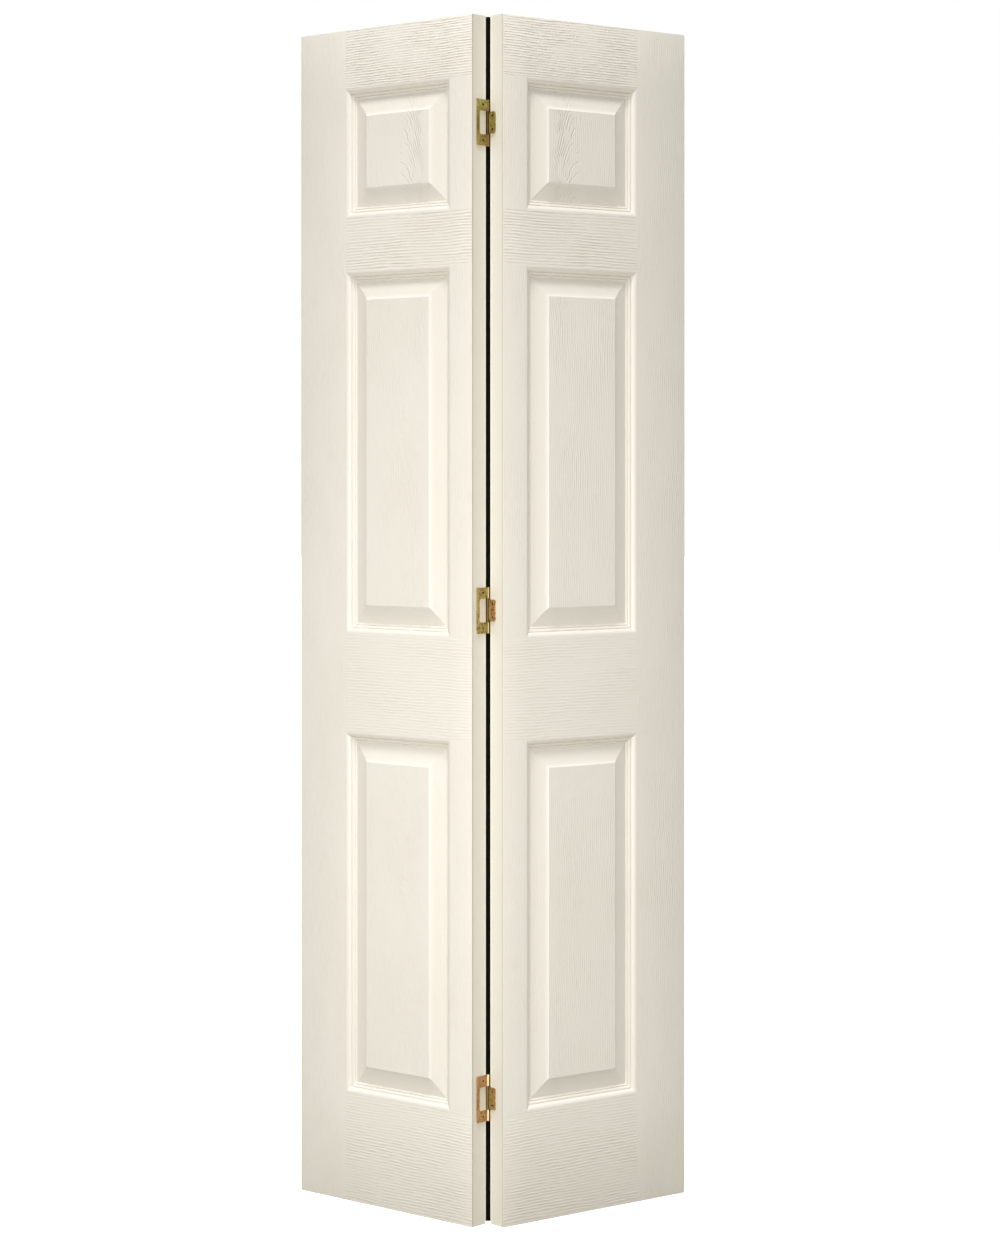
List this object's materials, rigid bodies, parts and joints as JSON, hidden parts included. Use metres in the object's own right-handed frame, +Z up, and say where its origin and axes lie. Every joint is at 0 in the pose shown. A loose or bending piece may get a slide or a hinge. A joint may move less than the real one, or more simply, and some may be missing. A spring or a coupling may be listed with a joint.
{
  "type": "bifold closet door",
  "caption": "Hinged pair of narrow raised-panel door leaves, half folded: the knuckled crease lets them fold back to back or close flat over a closet opening.",
  "frame": {"origin": "on the floor, at the centre of the half-folded door's footprint", "axes": "+Z up along the leaves' height; the crease and the room faces look towards -Y; +X runs from the pivot leaf to the guide leaf"},
  "size_m": [0.6666, 0.2804, 2.0066],
  "materials": {
    "painted_skin": "satin off-white paint over pressed, wood-grained fibreboard",
    "painted_stile": "satin off-white paint on planed softwood",
    "bare_timber": "unpainted planed softwood",
    "paper_core": "matte brown kraft paper",
    "hinge_plate": "yellow zinc plating with a faint colour play",
    "hinge_pin": "yellow zinc plating",
    "screws": "yellow zinc plating"
  },
  "bodies": {
    "pivot_leaf": {"left_front_skin": "painted_skin", "left_back_skin": "painted_skin", "left_hinge_stile": "painted_stile", "left_outer_stile": "painted_stile", "left_top_rail": "bare_timber", "left_bottom_rail": "bare_timber", "left_knob_block": "bare_timber", "left_core": "paper_core", "left_hinge_screws": "screws", "hinge_bottom_outer_plate": "hinge_plate", "hinge_middle_outer_plate": "hinge_plate", "hinge_top_outer_plate": "hinge_plate", "hinge_bottom_pin": "hinge_pin", "hinge_middle_pin": "hinge_pin", "hinge_top_pin": "hinge_pin"},
    "guide_leaf": {"right_front_skin": "painted_skin", "right_back_skin": "painted_skin", "right_hinge_stile": "painted_stile", "right_outer_stile": "painted_stile", "right_top_rail": "bare_timber", "right_bottom_rail": "bare_timber", "right_knob_block": "bare_timber", "right_core": "paper_core", "right_hinge_screws": "screws", "hinge_bottom_inner_plate": "hinge_plate", "hinge_middle_inner_plate": "hinge_plate", "hinge_top_inner_plate": "hinge_plate"}
  },
  "joints": [
    {"name": "fold", "type": "hinge", "parent": "pivot_leaf", "child": "guide_leaf", "pos_m": [0, -0.11078, 0], "axis": [0, 0, 1], "range_deg": [-79, 101]}
  ]
}
